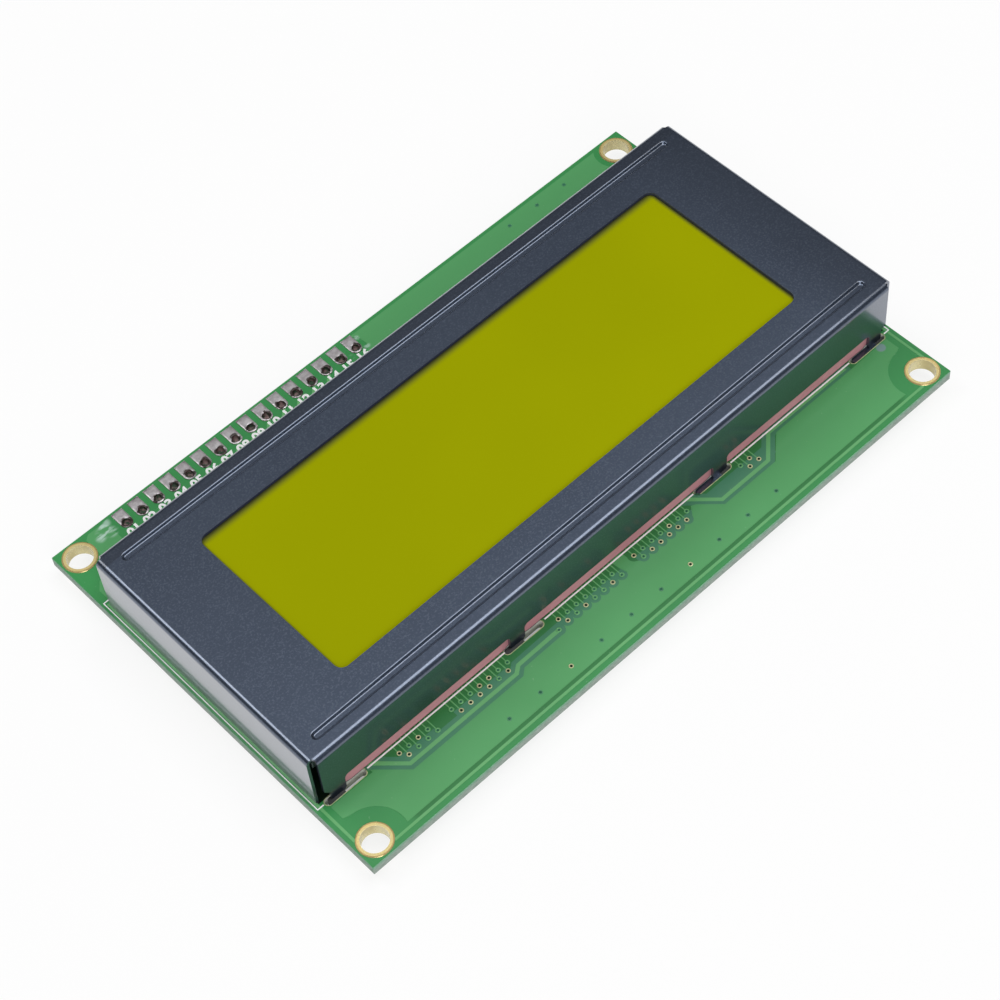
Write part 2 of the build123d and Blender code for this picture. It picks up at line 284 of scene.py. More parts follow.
def spot(tree, place, x, y, radius, core=0.35):
    """1 in the middle of a round spot on the board, fading to 0 at its rim."""
    inputs = {0: place, 1: (x * mm, y * mm, board_top)}
    away = Wire.node(tree, "ShaderNodeVectorMath", {"operation": "DISTANCE"}, inputs, "Value")
    return away.ease(core * radius * mm, radius * mm, 1.0, 0.0)


# Places of wiped flux and of one smudge: x, y and radius.
flux_spots = (
    (-42.1, 28.4, 1.3), (-41.3, 27.7, 1.1), (-42.9, 27.9, 0.9), (-41.3, 29.3, 1.1),
    (0.34, 26.8, 0.6), (0.23, 28.7, 0.5), (-2.3, 26.8, 0.5),
)
smudge = (45.72, -21.22, 0.75)


def mask_tone(tree, place, colour, deep_colour):
    """Colour of the solder mask: soft patches, pale specks, wiped flux and a grey smudge."""
    upward = place.part("Y").ease(-10 * mm, 25 * mm, 0.0, 0.45)
    patches = (noise(tree, place, 55.0, 3.0) - upward).ease(0.1, 0.7)
    specks = noise(tree, place, 2300.0, 1.0).ease(0.76, 0.82)
    plain = (specks * 0.25).blend(patches.blend(colour, deep_colour), rgb(0.3, 0.5, 0.33))
    inputs = {"Vector": place, "Rotation": (0.0, 0.0, 0.15), "Scale": (0.3, 1.0, 1.0)}
    turned_place = Wire.node(tree, "ShaderNodeMapping", {}, inputs)
    streaks = noise(tree, turned_place, 1500.0, 3.0).ease(0.42, 0.62)
    flux = sum(spot(tree, place, *flux_spot) for flux_spot in flux_spots)
    wiped = (streaks * flux * 0.55).math("MINIMUM", 0.75).blend(plain, rgb(0.62, 0.82, 0.74))
    return (spot(tree, place, *smudge, core=0.7) * 0.85).blend(wiped, rgb(0.2, 0.29, 0.31))


board_material, board_tree = new_tree("board")
board_place = object_place(board_tree)
on_face = facing_up(board_tree).math("ABSOLUTE").ease(0.4, 0.6)
cloth_inputs = {"Vector": board_place, "Scale": (1.0, 1.0, 6.0)}
cloth_place = Wire.node(board_tree, "ShaderNodeMapping", {}, cloth_inputs)
cloth = noise(board_tree, cloth_place, 1100.0, 4.0, 0.7)
board_out_x = board_place.part("X").math("ABSOLUTE")
board_out_y = board_place.part("Y").math("ABSOLUTE")
near_end = board_out_x > board_high.x - cut_skin * mm
near_side = board_out_y > board_high.y - cut_skin * mm
on_outline = near_end.math("MAXIMUM", near_side)
cloth_share = cloth.ease(0.3, 0.7)
slot_tone = cloth_share.blend(laminate_dark, laminate_pale)
stained_share = board_place.part("Z").ease(board_top - 0.9 * mm, board_top - 0.1 * mm) * 0.6
edge_tone = stained_share.blend(cloth_share.blend(edge_dark, edge_pale), edge_stained)
cut_tone = on_outline.blend(slot_tone, edge_tone)
past_ends = board_out_x.ease(paler_ends_x * mm, (paler_ends_x + 2.0) * mm)
past_row = board_place.part("Y").ease(paler_row_y * mm, (paler_row_y + 1.0) * mm)
past_edge_line = board_place.part("Y").ease((paler_edge_y - 0.1) * mm, paler_edge_y * mm, 1.0, 0.0)
at_border = past_ends.math("MAXIMUM", past_row).math("MAXIMUM", past_edge_line)
clear_tone = at_border.blend(clear_green, border_green)
clear_tone_deep = at_border.blend(clear_green_deep, border_green_deep)
# Painted shade: the face hidden under the bezel is painted near black, for the shade seen through the
# corner slits.
under_bezel_shade = (board_out_x < covered_half_x * mm) * (board_out_y < covered_half_y * mm)
open_tone = mask_tone(board_tree, board_place, clear_tone, clear_tone_deep)
face_tone = under_bezel_shade.blend(open_tone, painted_shade_green)
principled(
    board_tree,
    Base_Color=on_face.blend(cut_tone, face_tone),
    Roughness=on_face.ease(0.0, 1.0, 0.8, 0.32),
    Normal=bump(board_tree, cloth * (1.0 - on_face), 0.05 * mm, 0.7),
)
dress("circuit_board", board_material)


# Copper ground plane, front.
# Etched copper foil under the mask: it stands a few hundredths of a millimetre above the
# laminate and looks lighter. It leaves the holes, the slots and the rows of vias clear.
foil = 0.035 * mm
hidden_y = -19.4
hidden_upper_y = 19.4
hole_inset = 2.5
hole_x = board_high.x / mm - hole_inset
hole_y = board_high.y / mm - hole_inset
hole_clear = 4.3
upper_hole_clear = 3.1
via_clear = 0.76
via_pitch = 1.52
inner_row_y = -21.18
outer_row_y = -22.1


def arc(centre_x, centre_y, radius, start, end, steps=10):
    """Points of an arc, in degrees from start to end."""
    points = []
    for step in range(steps + 1):
        angle = math.radians(start + (end - start) * step / steps)
        points.append((centre_x + radius * math.cos(angle), centre_y + radius * math.sin(angle)))
    return points


def scallops(first_x, count, row_y, pitch):
    """Round bays below a row of vias, from right to left."""
    points = []
    for index in reversed(range(count)):
        points += arc(first_x + index * pitch, row_y, via_clear, -10, -170, 8)
    return points


def link_piece(name, mesh, material=None):
    """A piece of this name in the scene, at the origin."""
    if material:
        mesh.materials.append(material)
    piece = bpy.data.objects.new(name, mesh)
    scene.collection.objects.link(piece)
    return piece


def film_mesh(name, outlines, level, height):
    """Flat sheets of even height, one for each closed outline in board millimetres."""
    bm = bmesh.new()
    for outline in outlines:
        bm.faces.new([bm.verts.new((x * mm, y * mm, level)) for x, y in outline])
    made = bmesh.ops.extrude_face_region(bm, geom=bm.faces[:], use_keep_orig=True)
    raised = [item for item in made["geom"] if isinstance(item, bmesh.types.BMVert)]
    bmesh.ops.translate(bm, verts=raised, vec=(0, 0, height))
    bmesh.ops.recalc_face_normals(bm, faces=bm.faces[:])
    mesh = bpy.data.meshes.new(name)
    bm.to_mesh(mesh)
    bm.free()
    return mesh


def mask_material(name, colour, deep_colour, roughness=0.3):
    """Solder mask over something that gives it one of its tones."""
    material, tree = new_tree(name)
    place = object_place(tree)
    principled(
        tree,
        Base_Color=mask_tone(tree, place, colour, deep_colour),
        Roughness=noise(tree, place, 300.0, 2.0) * 0.1 + (roughness - 0.05),
        Normal=bump(tree, noise(tree, place, 1300.0, 2.0), 0.012 * mm, 0.5),
    )
    return material


plane_green = rgb(0.095, 0.375, 0.13)
plane_green_deep = rgb(0.076, 0.322, 0.105)
plane_material = mask_material("masked_copper", plane_green, plane_green_deep)
left_hole_arc = arc(-hole_x, -hole_y, hole_clear, 88, -12.5)
right_hole_arc = arc(hole_x, -hole_y, hole_clear, 192.5, 92)
lower_plane = (
    left_hole_arc
    + right_hole_arc
    + [(47.25, -22.9), (47.25, -20.75), (41.0, -20.85), (26.75, -20.85)]
    + [(23.45, -23.82), (14.45, -23.82), (11.95, -21.3), (11.35, -21.0)]
    + scallops(1.29 + via_pitch / 2, 6, outer_row_y, via_pitch)
    + arc(1.29, inner_row_y, via_clear + 0.1, 250, 150, 6)
    + [(0.45, hidden_y), (-1.35, hidden_y), (-1.25, -21.1)]
    + scallops(-10.77, 7, outer_row_y, 1.51)
    + arc(-12.43, -22.3, 0.85, -20, -110, 6)
    + [(-18.9, -23.15), (-19.8, -23.92), (-37.35, -23.92), (-40.9, -20.35), (-40.9, -20.8)]
    + [(-47.3, -20.8), (-47.3, -22.9)]
)
upper_hole_arc = arc(hole_x, hole_y, upper_hole_clear, 142, 262)
upper_plane = (
    [(-3.3, hidden_upper_y), (-3.3, 25.7), (-0.7, 25.9), (0.25, 26.3)]
    + [(0.55, 27.2), (0.4, 28.6), (-0.4, 29.5)]
    + upper_hole_arc
    + [(47.3, 24.4), (47.3, hidden_upper_y)]
)
pad_side_patch = [
    (-44.4, hidden_upper_y), (-44.4, 28.9), (-43.7, 29.5),
    (-41.6, 29.5), (-41.0, 28.9), (-41.0, hidden_upper_y),
]
slot_side_patch = [
    (-47.8, 21.9), (-47.8, hidden_upper_y), (-46.3, hidden_upper_y), (-46.3, 23.0), (-46.9, 23.0),
]
upper_outlines = [upper_plane, pad_side_patch, slot_side_patch]
plane_mesh = film_mesh("copper_plane", [lower_plane, *upper_outlines], board_top, foil)
copper_plane = link_piece("copper_plane", plane_mesh, plane_material)
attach(copper_plane, "root")


# Copper tracks, front.
# Narrow strips of the same foil: one from each via to the contact strips, the wide ones round
# the vias, the line along the board's edges, and one from each of nine connector pads.
def node_group(name, sizes):
    """An empty geometry tree with one number input for each size."""
    tree = bpy.data.node_groups.new(name, "GeometryNodeTree")
    tree.interface.new_socket("Geometry", in_out="INPUT", socket_type="NodeSocketGeometry")
    for size in sizes:
        tree.interface.new_socket(size, in_out="INPUT", socket_type="NodeSocketFloat")
    tree.interface.new_socket("Geometry", in_out="OUTPUT", socket_type="NodeSocketGeometry")
    start = tree.nodes.new("NodeGroupInput")
    return tree, {socket.name: Wire(tree, socket) for socket in start.outputs if socket.name}


def close_group(tree, geometry, material):
    """Ends a geometry tree: real geometry, in its material."""
    real = Wire.node(tree, "GeometryNodeRealizeInstances", {}, {0: geometry})
    painted = Wire.node(tree, "GeometryNodeSetMaterial", {}, {"Geometry": real, "Material": material})
    Wire.node(tree, "NodeGroupOutput", {}, {0: painted})


def grow(name, seed_data, tree, sizes):
    """The plain mesh that a geometry tree makes of the seed data."""
    seed = bpy.data.objects.new(name + "_seed", seed_data)
    scene.collection.objects.link(seed)
    modifier = seed.modifiers.new("grow", "NODES")
    modifier.node_group = tree
    for item in tree.interface.items_tree:
        if item.in_out == "INPUT" and item.name in sizes:
            modifier[item.identifier] = sizes[item.name]
    shown = seed.evaluated_get(bpy.context.evaluated_depsgraph_get())
    mesh = bpy.data.meshes.new_from_object(shown)
    mesh.name = name
    bpy.data.objects.remove(seed)
    return mesh


def path_curve(name, paths, level):
    """Straight-run paths in board millimetres, as one curve at a level."""
    curve = bpy.data.curves.new(name, "CURVE")
    curve.dimensions = "3D"
    for path in paths:
        spline = curve.splines.new("POLY")
        spline.points.add(len(path) - 1)
        for point, (x, y) in zip(spline.points, path):
            point.co = (x * mm, y * mm, level, 1.0)
    return curve


def strip_tree(name, material):
    """Flat strips along a curve, of a given width and height."""
    tree, start = node_group(name, ("Width", "Height"))
    inputs = {"Width": start["Width"], "Height": start["Height"]}
    profile = Wire.node(tree, "GeometryNodeCurvePrimitiveQuadrilateral", {}, inputs)
    inputs = {"Curve": start["Geometry"]}
    upright = Wire.node(tree, "GeometryNodeSetCurveNormal", {"mode": "Z_UP"}, inputs)
    inputs = {"Curve": upright, "Profile Curve": profile, "Fill Caps": True}
    strips = Wire.node(tree, "GeometryNodeCurveToMesh", {}, inputs)
    inputs = {"Geometry": strips, "Shade Smooth": False}
    close_group(tree, Wire.node(tree, "GeometryNodeSetShadeSmooth", {}, inputs), material)
    return tree


track_green = rgb(0.145, 0.45, 0.165)
track_green_deep = rgb(0.12, 0.39, 0.14)
track_material = mask_material("masked_track", track_green, track_green_deep)
track_tree = strip_tree("track_strips", track_material)
teal = rgb(0.062, 0.25, 0.135)
teal_deep = rgb(0.05, 0.21, 0.11)
teal_material = mask_material("bare_mask_over_back_copper", teal, teal_deep)
teal_tree = strip_tree("teal_strips", teal_material)


def row(first_x, count, y, pitch):
    """Places in a row along the board."""
    return [(first_x + index * pitch, y) for index in range(count)]


group_rows = [
    row(-37.08, 4, inner_row_y, 1.49), row(-36.36, 4, outer_row_y, 1.5),
    row(-28.86, 7, inner_row_y, 1.503), row(-28.11, 6, outer_row_y, 1.51),
    row(-11.45, 7, inner_row_y, 1.5), row(-10.75, 7, outer_row_y, 1.51),
    row(1.29, 7, inner_row_y, via_pitch), row(2.04, 6, outer_row_y, 1.492),
    row(19.95, 2, inner_row_y, 1.6), row(20.7, 2, outer_row_y, 1.57),
]
lone_via = (-12.43, -22.3)

fine_paths = [[(x, y), (x, hidden_y)] for places in group_rows for x, y in places]
wide_paths = [
    [(-40.7, hidden_y), (-37.05, -23.08), (-20.15, -23.12), (-19.2, -22.38), lone_via],
    [(11.1, hidden_y), (14.72, -23.08), (22.9, -23.08), (26.03, -20.15), (40.1, -20.15)],
]
edge_line_y = -29.12
edge_line_x = 48.25
edge_end_x = 44.9
edge_end_y = -26.1
edge_paths = [
    [(-edge_end_x, edge_line_y), (edge_end_x, edge_line_y)],
    [(-edge_line_x, edge_end_y), (-edge_line_x, 19.6)],
    [(edge_line_x, edge_end_y), (edge_line_x, -19.0)],
]
pad_row_y = board_high.y / mm - hole_inset
first_pad_x = board_low.x / mm + 9.9
pad_pitch = 2.54
pad_count = 16
tracked_pads = slice(5, 14)
track_jog = 1.2
pad_paths = []
for x, y in row(first_pad_x, pad_count, pad_row_y, pad_pitch)[tracked_pads]:
    jog_end = (x - track_jog, y - 0.6 - track_jog)
    pad_paths.append([(x, y - 0.6), jog_end, (x - track_jog, hidden_upper_y)])
tint = 0.012
scallop_tint = 0.006
scallop_paths = [
    [(-39.6, -22.3), (-32.0, -22.5)],
    [(-28.9, -22.5), (-20.4, -22.5)],
    [(-12.5, -22.3), (-1.0, -22.3)],
    [(1.2, -22.3), (11.2, -22.3)],
    [(26.6, -20.6), (40.6, -20.6)],
    [(13.6, -22.0), (24.6, -22.0)],
]
for name, paths, width, height, tree in (
    ("back_copper_tint", wide_paths, 1.8, tint * mm, teal_tree),
    ("scallop_tint", scallop_paths, 1.8, scallop_tint * mm, teal_tree),
    ("via_tracks", fine_paths, 0.14, foil, track_tree),
    ("bus_tracks", wide_paths, 0.56, foil, track_tree),
    ("edge_track", edge_paths, 0.36, foil, track_tree),
    ("pad_tracks", pad_paths, 0.45, foil, track_tree),
):
    seed_curve = path_curve(name, paths, board_top + height / 2)
    track_mesh = grow(name, seed_curve, tree, {"Width": width * mm, "Height": height})
    tracks = link_piece(name, track_mesh)
    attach(tracks, "root")


# Slot rims.
# The mask is printed a little short of the eight slots, so a hair-thin line of bare laminate runs
# round the mouth of each on the board's face.
rim_width = 0.1
rim_outset = 0.05
slot_middle_y = 20.05
slot_half = 0.5
slot_spans = ((-47.5, -41.3), (-19.2, -13.0), (13.0, 19.2), (41.3, 47.5))
rim_paths = []
for side in (-1, 1):
    for low_x, high_x in slot_spans:
        reach = slot_half + rim_outset
        left_end = arc(low_x + slot_half, side * slot_middle_y, reach, 90, 270)
        right_end = arc(high_x - slot_half, side * slot_middle_y, reach, -90, 90)
        rim_paths.append(left_end + right_end + left_end[:1])
rim_material, rim_material_tree = new_tree("bare_laminate")
rim_cloth = noise(rim_material_tree, object_place(rim_material_tree), 1400.0, 3.0).ease(0.35, 0.65)
principled(
    rim_material_tree,
    Base_Color=rim_cloth.blend(rgb(0.55, 0.6, 0.32), rgb(0.36, 0.45, 0.22)),
    Roughness=0.7,
)
rim_height = 0.012 * mm
rim_curve = path_curve("slot_rims", rim_paths, board_top + rim_height / 2)
rim_sizes = {"Width": rim_width * mm, "Height": rim_height}
rim_tree = strip_tree("rim_strips", rim_material)
slot_rims = link_piece("slot_rims", grow("slot_rims", rim_curve, rim_tree, rim_sizes))
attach(slot_rims, "root")


# Vias.
# Small plated holes through the board. Some are left bare and show gold round a black hole,
# and the mask covers the others.
via_radius = 0.25
stitch_first_x = -24.94
stitch_pitch = 5.02
stitch_y = -26.95
# One letter for each via of a row: G shows gold, M is masked.
row_plating = [
    "GMGM", "GMMM", "MMMGGMM", "GGGGMG", "GMMMMMM",
    "GMGMMGM", "GMMMGMM", "MGGGGG", "MG", "GG",
]


def point_mesh(name, places, level):
    """Loose points at places on the board, all at one level."""
    mesh = bpy.data.meshes.new(name)
    mesh.from_pydata([(x * mm, y * mm, level) for x, y in places], [], [])
    return mesh


def ring_tree(name, material):
    """A low round ring on each point."""
    tree, start = node_group(name, ("Radius", "Wall", "Flatness"))
    inputs = {"Resolution": 16, "Radius": start["Radius"]}
    circle = Wire.node(tree, "GeometryNodeCurvePrimitiveCircle", {}, inputs)
    inputs = {"Resolution": 8, "Radius": start["Wall"]}
    section = Wire.node(tree, "GeometryNodeCurvePrimitiveCircle", {}, inputs)
    ring = Wire.node(tree, "GeometryNodeCurveToMesh", {}, {"Curve": circle, "Profile Curve": section})
    scale = Wire.node(tree, "ShaderNodeCombineXYZ", {}, {"X": 1.0, "Y": 1.0, "Z": start["Flatness"]})
    low_ring = Wire.node(tree, "GeometryNodeTransform", {}, {"Geometry": ring, "Scale": scale})
    inputs = {"Points": start["Geometry"], "Instance": low_ring}
    close_group(tree, Wire.node(tree, "GeometryNodeInstanceOnPoints", {}, inputs), material)
    return tree


def disc_tree(name, material):
    """A flat disc on each point."""
    tree, start = node_group(name, ("Radius",))
    inputs = {"Vertices": 12, "Radius": start["Radius"]}
    disc = Wire.node(tree, "GeometryNodeMeshCircle", {"fill_type": "NGON"}, inputs)
    inputs = {"Points": start["Geometry"], "Instance": disc}
    close_group(tree, Wire.node(tree, "GeometryNodeInstanceOnPoints", {}, inputs), material)
    return tree


bare_vias = []
masked_vias = [lone_via]
for places, plating in zip(group_rows, row_plating):
    for place, kind in zip(places, plating):
        (bare_vias if kind == "G" else masked_vias).append(place)
stitch_row = row(stitch_first_x, 10, stitch_y, stitch_pitch)
bare_vias += [stitch_row.pop(6), stitch_row.pop(2)]
upper_stitch_row = row(27.18, 3, 28.15, 5.04)
filled_vias = stitch_row + upper_stitch_row

cream_material, cream_tree = new_tree("thin_gold")
cream_place = object_place(cream_tree)
cream_wear = noise(cream_tree, cream_place, 1900.0, 2.0).ease(0.3, 0.7)
principled(
    cream_tree,
    Base_Color=cream_wear.blend(rgb(0.68, 0.7, 0.4), rgb(0.46, 0.48, 0.25)),
    Metallic=0.15,
    Roughness=cream_wear * 0.1 + 0.3,
)
# Painted shade: a near black disc in each bare via's hole stands for the shade inside it.
dark_material, dark_tree = new_tree("hole_shadow")
dark_noise = noise(dark_tree, object_place(dark_tree), 3000.0, 1.0)
dark_tone = dark_noise.blend(rgb(0.01, 0.02, 0.012), rgb(0.02, 0.04, 0.022))
principled(dark_tree, Base_Color=dark_tone, Roughness=0.9, Specular_IOR_Level=0.1)
plug_material = mask_material("mask_in_hole", rgb(0.045, 0.2, 0.11), rgb(0.02, 0.1, 0.055), 0.15)

via_level = board_top + foil
hole_lift = 0.012 * mm
for name, places, material, wall, hole_material, hole in (
    ("bare_vias", bare_vias, cream_material, 0.08, dark_material, 0.19),
    ("masked_vias", masked_vias, track_material, 0.1, plug_material, 0.17),
    ("filled_vias", filled_vias, teal_material, 0.05, plug_material, 0.18),
):
    ring_sizes = {"Radius": via_radius * mm, "Wall": wall * mm, "Flatness": 0.45}
    ring_mesh = grow(name, point_mesh(name, places, via_level), ring_tree(name, material), ring_sizes)
    rings = link_piece(name, ring_mesh)
    hole_name = name + "_holes"
    hole_points = point_mesh(hole_name, places, via_level + hole_lift)
    hole_tree = disc_tree(hole_name, hole_material)
    hole_mesh = grow(hole_name, hole_points, hole_tree, {"Radius": hole * mm})
    holes = link_piece(hole_name, hole_mesh)
    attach(rings, "root")
    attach(holes, "root")
    "gold" if material == cream_material else "board"


# White outline, front.
# Lines of white ink, screen-printed over the mask to mark where the bezel stands. They break off
# at the slots.
ink = 0.02 * mm
ink_width = 0.2
ink_material, ink_tree = new_tree("white_ink")
ink_grain = noise(ink_tree, object_place(ink_tree), 1800.0, 2.0).ease(0.3, 0.75)
principled(
    ink_tree,
    Base_Color=ink_grain.blend(rgb(0.99, 1.0, 1.0), rgb(0.94, 0.97, 0.96)),
    Roughness=0.55,
    Normal=bump(ink_tree, ink_grain, 0.01 * mm, 0.5),
)
ink_level = board_top + foil + ink / 2
outline_y = 20.0
outline_left = -48.62
outline_right = 48.55
left_corner_x = -47.7
right_corner_x = 47.67
corner_end_y = 19.0
outline_paths = []
for side in (-1, 1):
    y = side * outline_y
    for start_x, end_x in ((-41.0, -19.15), (-12.6, 12.8), (19.4, 41.1)):
        outline_paths.append([(start_x, y), (end_x, y)])
outline_paths.append([
    (left_corner_x, -outline_y), (outline_left, -outline_y),
    (outline_left, outline_y), (left_corner_x, outline_y),
])
for side in (-1, 1):
    y = side * outline_y
    corner_end = (outline_right, side * corner_end_y)
    outline_paths.append([(right_corner_x, y), (outline_right, y), corner_end])
ink_strips = strip_tree("ink_strips", ink_material)
ink_curve = path_curve("outline_print", outline_paths, ink_level)
outline_mesh = grow("outline_print", ink_curve, ink_strips, {"Width": ink_width * mm, "Height": ink})
outline_print = link_piece("outline_print", outline_mesh)
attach(outline_print, "root")


# Pad numbers.
# A plain number, 01 to 16, below each connector pad. They are screen-printed over the mask with
# the bezel's outline, in the same white ink.
number_size = 1.95
number_swell = 0.075
number_y = pad_row_y - 2.3
numbers = bmesh.new()
for index, (x, y) in enumerate(row(first_pad_x, pad_count, number_y, pad_pitch)):
    figure = bpy.data.curves.new("figure", "FONT")
    figure.body = f"{index + 1:02d}"
    figure.size = number_size * mm
    figure.extrude = ink / 2
    figure.offset = number_swell * mm
    figure.resolution_u = 3
    figure.align_x = "CENTER"
    figure_seed = bpy.data.objects.new("figure", figure)
    scene.collection.objects.link(figure_seed)
    shown = figure_seed.evaluated_get(bpy.context.evaluated_depsgraph_get())
    figure_mesh = bpy.data.meshes.new_from_object(shown)
    figure_mesh.transform(Matrix.Translation((x * mm, y * mm, ink_level)))
    numbers.from_mesh(figure_mesh)
    bpy.data.objects.remove(figure_seed)
bmesh.ops.remove_doubles(numbers, verts=numbers.verts[:], dist=0.001 * mm)
bmesh.ops.recalc_face_normals(numbers, faces=numbers.faces[:])
number_mesh = bpy.data.meshes.new("pad_numbers")
numbers.to_mesh(number_mesh)
numbers.free()
pad_numbers = link_piece("pad_numbers", number_mesh, ink_material)
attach(pad_numbers, "root")


# Linings of the mounting holes.
# Copper plated through the four holes and flashed with gold. Each has a raised ring on both
# faces of the board.
ring_rim = 2.13
ring_lip = 1.74
gold_material, gold_tree = new_tree("gold_flash")
gold_place = object_place(gold_tree)
gold_wear = noise(gold_tree, gold_place, 420.0, 3.0).ease(0.35, 0.7)
from_hole_x = gold_place.part("X").math("ABSOLUTE") - hole_x * mm
from_hole_y = gold_place.part("Y").math("ABSOLUTE") - hole_y * mm
from_hole = (from_hole_x * from_hole_x + from_hole_y * from_hole_y).math("SQRT")
# Painted shade darkens the ring's outer rim and a painted highlight lightens its inner lip, in place
# of the light on a rounded ring.
rim_painted_shade = from_hole.ease((ring_rim - 0.07) * mm, ring_rim * mm)
lip_painted_highlight = from_hole.ease(ring_lip * mm, (ring_lip + 0.1) * mm, 1.0, 0.0)
gold_face_tone = gold_wear.blend(rgb(0.92, 0.76, 0.34), rgb(0.8, 0.63, 0.26))
gold_face_tone = rim_painted_shade.blend(gold_face_tone, rgb(0.55, 0.4, 0.16))
gold_face_tone = (lip_painted_highlight * 0.6).blend(gold_face_tone, rgb(0.97, 0.9, 0.6))
# Painted light: the steep bore is given its own paler, greyer copy of the gold, for how it is lit.
bore_painted_light_tone = gold_wear.blend(rgb(0.78, 0.7, 0.4), rgb(0.6, 0.52, 0.26))
gold_steep = facing_up(gold_tree).math("ABSOLUTE").ease(0.3, 0.9, 1.0, 0.0)
principled(
    gold_tree,
    Base_Color=gold_steep.blend(gold_face_tone, bore_painted_light_tone),
    Metallic=0.5,
    Roughness=gold_wear * 0.12 + 0.22,
    Normal=bump(gold_tree, noise(gold_tree, gold_place, 1500.0, 2.0), 0.02 * mm, 0.5),
)
for number in range(1, 5):
    dress(f"mount_lining_{number}", gold_material)


# Connector pads.
# Sixteen plated holes with long pads, square towards the edge. Dipped in solder, which stands
# in a low mound on each pad and draws back from the hole.
pad_half = 0.83
pad_tip = 2.13
hole_radius = 0.5
mound_height = 0.17
mound_steps = 48
mound_rings = 9


def pad_reach(angle):
    """Distance from the hole's middle to the pad's outline."""
    across, along = math.cos(angle), math.sin(angle)
    if along <= 0:
        return pad_half
    return min(pad_half / max(abs(across), 0.001), pad_tip / along)


def mound_mesh(name):
    """One mound of solder round the hole, closed underneath."""
    bm = bmesh.new()
    loops = []
    for ring in range(mound_rings + 1):
        share = ring / mound_rings
        loop = []
        for step in range(mound_steps):
            angle = 2 * math.pi * step / mound_steps
            reach = pad_reach(angle)
            away = hole_radius + (reach - hole_radius) * share
            room = min(1.0, (reach - hole_radius) / (pad_half - hole_radius) * 0.55)
            lean = 0.2 + 0.4 * (1 - math.sin(angle))
            height = mound_height * room * lean * (4 * share * (1 - share)) ** 0.5
            x = away * math.cos(angle)
            y = away * math.sin(angle)
            loop.append(bm.verts.new((x * mm, y * mm, height * mm)))
        loops.append(loop)
    for inner, outer in zip(loops, loops[1:] + loops[:1]):
        for step in range(mound_steps):
            following = (step + 1) % mound_steps
            bm.faces.new((inner[step], outer[step], outer[following], inner[following]))
    bmesh.ops.recalc_face_normals(bm, faces=bm.faces[:])
    for face in bm.faces:
        face.smooth = True
    mesh = bpy.data.meshes.new(name)
    bm.to_mesh(mesh)
    bm.free()
    return mesh


def scatter_tree(name, shape, material):
    """The shape on each point, with its height varied a little."""
    tree, start = node_group(name, ("Least height", "Most height"))
    body = Wire.node(tree, "GeometryNodeObjectInfo", {}, {"Object": shape}, "Geometry")
    inputs = {2: start["Least height"], 3: start["Most height"], "Seed": 4}
    height = Wire.node(tree, "FunctionNodeRandomValue", {"data_type": "FLOAT"}, inputs, 1)
    scale = Wire.node(tree, "ShaderNodeCombineXYZ", {}, {"X": 1.0, "Y": 1.0, "Z": height})
    inputs = {"Points": start["Geometry"], "Instance": body, "Scale": scale}
    close_group(tree, Wire.node(tree, "GeometryNodeInstanceOnPoints", {}, inputs), material)
    return tree


tin_material, tin_tree = new_tree("solder")
tin_place = object_place(tin_tree)
tin_grain = noise(tin_tree, tin_place, 900.0, 3.0).ease(0.3, 0.75)
# Painted shade: steep faces, the bores of the pad holes above all, are painted near black, with
# painted glints of dark green and brown.
tin_steep = facing_up(tin_tree).math("ABSOLUTE").ease(0.05, 0.25, 1.0, 0.0)
tin_face_tone = tin_grain.blend(rgb(0.78, 0.75, 0.77), rgb(0.4, 0.37, 0.38))
bore_painted_glints = noise(tin_tree, tin_place, 1600.0, 1.0).ease(0.4, 0.6)
tin_steep_painted_shade = bore_painted_glints.blend(rgb(0.03, 0.07, 0.035), rgb(0.3, 0.19, 0.19))
# Round each pad's hole the face darkens to near black with a ragged edge: partly painted shade of the
# hole and its solder fillet, partly dark marks.
along_row = tin_place.part("X") - (first_pad_x - pad_pitch / 2) * mm
from_pad_x = along_row.math("FLOORED_MODULO", pad_pitch * mm) - pad_pitch / 2 * mm
from_pad_y = tin_place.part("Y") - pad_row_y * mm
from_pad = (from_pad_x * from_pad_x + from_pad_y * from_pad_y).math("SQRT")
shade_and_stain_edge = noise(tin_tree, tin_place, 1100.0, 2.0) * 1.3 * mm
hole_shade_and_stain = (from_pad - shade_and_stain_edge).ease(0.0, 0.16 * mm, 1.0, 0.0)
tin_face_tone = (hole_shade_and_stain * 0.95).blend(tin_face_tone, rgb(0.05, 0.035, 0.03))
principled(
    tin_tree,
    Base_Color=tin_steep.blend(tin_face_tone, tin_steep_painted_shade),
    Metallic=0.7,
    Roughness=tin_grain * 0.15 + 0.28,
    Normal=bump(tin_tree, noise(tin_tree, tin_place, 2600.0, 2.0), 0.03 * mm, 0.6),
)
dress("connector_pads", tin_material)
mound = bpy.data.objects.new("mound", mound_mesh("mound"))
scene.collection.objects.link(mound)
pad_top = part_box("connector_pads")[1][2]
pad_places = row(first_pad_x, pad_count, pad_row_y, pad_pitch)
mound_points = point_mesh("solder_mounds", pad_places, pad_top)
mound_sizes = {"Least height": 0.7, "Most height": 1.25}
mound_tree = scatter_tree("solder_mounds", mound, tin_material)
solder_mesh = grow("solder_mounds", mound_points, mound_tree, mound_sizes)
bpy.data.objects.remove(mound)
solder_mounds = link_piece("solder_mounds", solder_mesh)
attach(solder_mounds, "root")


